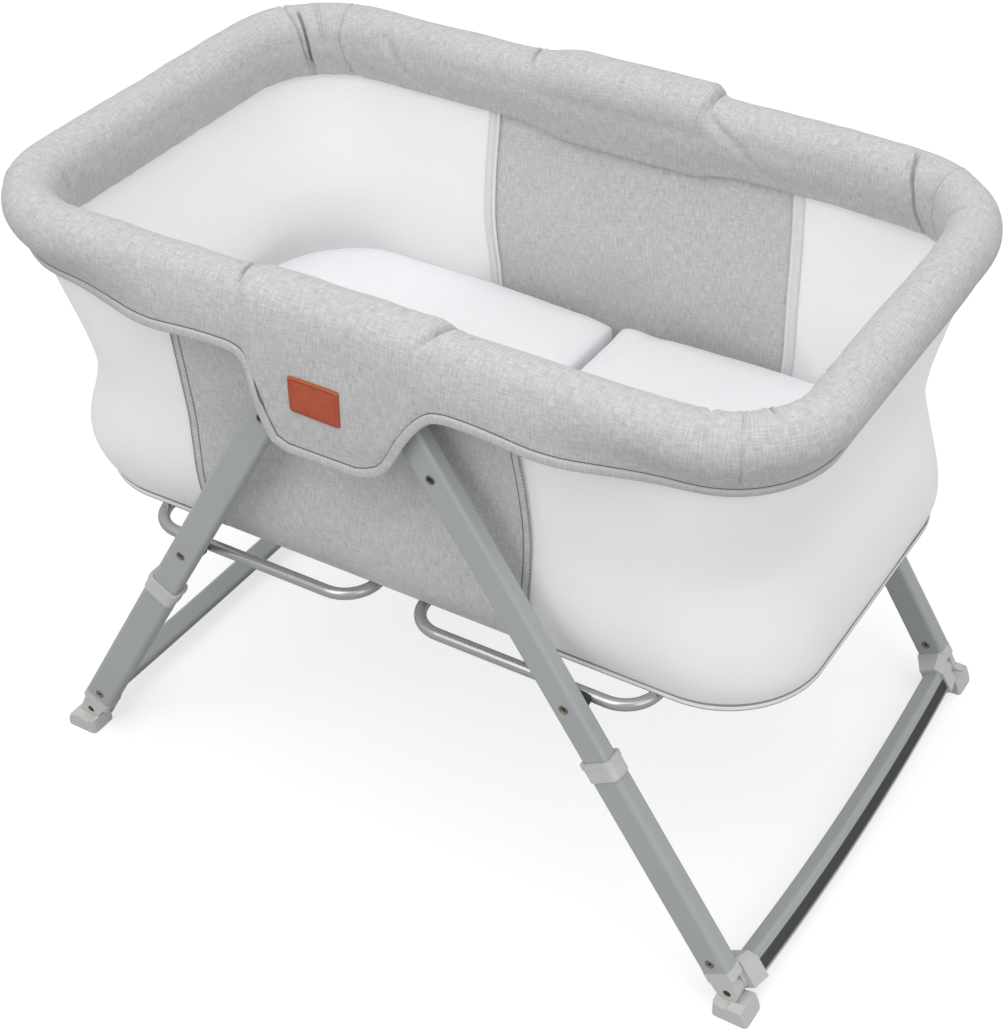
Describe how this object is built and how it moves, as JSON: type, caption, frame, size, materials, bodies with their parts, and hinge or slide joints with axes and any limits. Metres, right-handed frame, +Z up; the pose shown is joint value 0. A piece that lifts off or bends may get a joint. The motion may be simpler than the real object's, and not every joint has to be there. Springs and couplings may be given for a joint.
{
  "type": "folding bassinet on stand",
  "caption": "Folding travel bassinet: padded rim, mesh and fabric walls and a folding floor on splayed telescopic legs with bowed rocker rails and flip-down feet.",
  "frame": {"origin": "on the floor, under the middle of the bed", "axes": "+X along the bed to the right end seen from the front, +Y from front to back, +Z up"},
  "size_m": [0.908, 0.582, 0.6786],
  "materials": {
    "leg_paint": "satin grey powder coat",
    "loop_paint": "silver-grey powder coat",
    "steel": "zinc plated",
    "rivet": "dark, recessed",
    "grey_plastic": "fine moulded texture",
    "hub_plastic": "moulded nylon",
    "button_plastic": "moulded",
    "black_plastic": "moulded",
    "strip_rubber": "ribbed matt rubber",
    "grey_fabric": "heathered polyester weave, padded",
    "white_mesh": "fine breathable knitted mesh",
    "white_cotton": "soft woven cover",
    "patch_leather": "bare embossed border",
    "board": "hardboard in a cloth sleeve"
  },
  "bodies": {
    "hub": {"hub_body_front": "hub_plastic", "hub_body_back": "hub_plastic", "hub_cover_front": "hub_plastic", "hub_cover_back": "hub_plastic", "hub_pins": "steel", "cover_screws": "steel", "centre_sleeve_front": "grey_fabric", "centre_sleeve_back": "grey_fabric", "flap_front": "grey_fabric", "flap_back": "grey_fabric", "leather_patch": "patch_leather", "side_panel_front": "grey_fabric", "side_panel_back": "grey_fabric", "mesh_wall_right": "white_mesh", "mesh_wall_left": "white_mesh", "release_spring_front": "steel", "release_spring_back": "steel"},
    "right_legs": {"upper_leg_front_right": "leg_paint", "upper_leg_back_right": "leg_paint", "leg_bolts_right": "rivet", "loop_spacers_right": "black_plastic"},
    "right_stand": {"lower_leg_front_right": "leg_paint", "lower_leg_back_right": "leg_paint", "leg_collars_right": "grey_plastic", "foot_socket_front_right": "grey_plastic", "foot_socket_back_right": "grey_plastic", "rocker_rail_right": "leg_paint", "rail_strip_right": "strip_rubber", "foot_screws_right": "rivet"},
    "front_right_foot": {"flip_foot_front_right": "grey_plastic"},
    "back_right_foot": {"flip_foot_back_right": "grey_plastic"},
    "right_rim": {"rim_tube_right": "steel", "rim_pad_right": "grey_fabric"},
    "right_floor": {"floor_board_right": "board", "floor_loop_right": "loop_paint", "mattress_right": "white_cotton"},
    "left_legs": {"upper_leg_front_left": "leg_paint", "upper_leg_back_left": "leg_paint", "leg_bolts_left": "rivet", "loop_spacers_left": "black_plastic"},
    "left_stand": {"lower_leg_front_left": "leg_paint", "lower_leg_back_left": "leg_paint", "leg_collars_left": "grey_plastic", "foot_socket_front_left": "grey_plastic", "foot_socket_back_left": "grey_plastic", "rocker_rail_left": "leg_paint", "rail_strip_left": "strip_rubber", "foot_screws_left": "rivet"},
    "front_left_foot": {"flip_foot_front_left": "grey_plastic"},
    "back_left_foot": {"flip_foot_back_left": "grey_plastic"},
    "left_rim": {"rim_tube_left": "steel", "rim_pad_left": "grey_fabric"},
    "left_floor": {"floor_board_left": "board", "floor_loop_left": "loop_paint", "mattress_left": "white_cotton"},
    "floor_spine": {"floor_hinge_strip": "hub_plastic", "floor_pins": "steel"},
    "front_button": {"release_button_front": "button_plastic"},
    "back_button": {"release_button_back": "button_plastic"}
  },
  "joints": [
    {"name": "fold", "type": "hinge", "parent": "hub", "child": "right_legs", "pos_m": [0.06, 0, 0.594], "axis": [0, 1, 0], "range_deg": [0, 31.4], "deforming": ["centre_sleeve_front", "centre_sleeve_back", "side_panel_front", "side_panel_back", "mesh_wall_right", "mesh_wall_left"]},
    {"name": "fold_left_legs", "type": "hinge", "parent": "hub", "child": "left_legs", "pos_m": [-0.06, 0, 0.594], "axis": [0, -1, 0], "range_deg": [0, 31.4]},
    {"name": "fold_right_rim", "type": "hinge", "parent": "hub", "child": "right_rim", "pos_m": [0.112, 0, 0.6516], "axis": [0, 1, 0], "range_deg": [0, 72]},
    {"name": "fold_left_rim", "type": "hinge", "parent": "hub", "child": "left_rim", "pos_m": [-0.112, 0, 0.6516], "axis": [0, -1, 0], "range_deg": [0, 72]},
    {"name": "floor_lift", "type": "slide", "parent": "hub", "child": "floor_spine", "axis": [0, 0, 1], "range_m": [0, 0.16]},
    {"name": "fold_right_floor", "type": "hinge", "parent": "floor_spine", "child": "right_floor", "pos_m": [0.012, 0, 0.32787], "axis": [0, 1, 0], "range_deg": [0, 75]},
    {"name": "fold_left_floor", "type": "hinge", "parent": "floor_spine", "child": "left_floor", "pos_m": [-0.012, 0, 0.32787], "axis": [0, -1, 0], "range_deg": [0, 75]},
    {"name": "height_right", "type": "slide", "parent": "right_legs", "child": "right_stand", "axis": [0.521, 0, -0.8536], "range_m": [0, 0.06]},
    {"name": "flip_front_right", "type": "hinge", "parent": "right_stand", "child": "front_right_foot", "pos_m": [0.40714, 0, 0.0253], "axis": [0, -1, 0], "range_deg": [0, 90]},
    {"name": "flip_back_right", "type": "hinge", "parent": "right_stand", "child": "back_right_foot", "pos_m": [0.40714, 0, 0.0253], "axis": [0, -1, 0], "range_deg": [0, 90]},
    {"name": "height_left", "type": "slide", "parent": "left_legs", "child": "left_stand", "axis": [-0.521, 0, -0.8536], "range_m": [0, 0.06]},
    {"name": "flip_front_left", "type": "hinge", "parent": "left_stand", "child": "front_left_foot", "pos_m": [-0.40714, 0, 0.0253], "axis": [0, 1, 0], "range_deg": [0, 90]},
    {"name": "flip_back_left", "type": "hinge", "parent": "left_stand", "child": "back_left_foot", "pos_m": [-0.40714, 0, 0.0253], "axis": [0, 1, 0], "range_deg": [0, 90]},
    {"name": "press_front_button", "type": "slide", "parent": "hub", "child": "front_button", "axis": [0, 1, 0], "range_m": [0, 0.005], "stiffness_N_per_m": 600, "deforming": ["release_spring_front"]},
    {"name": "press_back_button", "type": "slide", "parent": "hub", "child": "back_button", "axis": [0, -1, 0], "range_m": [0, 0.005], "stiffness_N_per_m": 600, "deforming": ["release_spring_back"]}
  ],
  "couplings": [
    {"joint": "fold_left_legs", "follows": "fold", "ratio": 1},
    {"joint": "fold_right_rim", "follows": "fold", "ratio": 2.293},
    {"joint": "fold_left_rim", "follows": "fold", "ratio": 2.293},
    {"joint": "floor_lift", "follows": "fold", "m_per_rad": 0.29195},
    {"joint": "fold_right_floor", "follows": "fold", "ratio": 2.3885},
    {"joint": "fold_left_floor", "follows": "fold", "ratio": 2.3885}
  ]
}
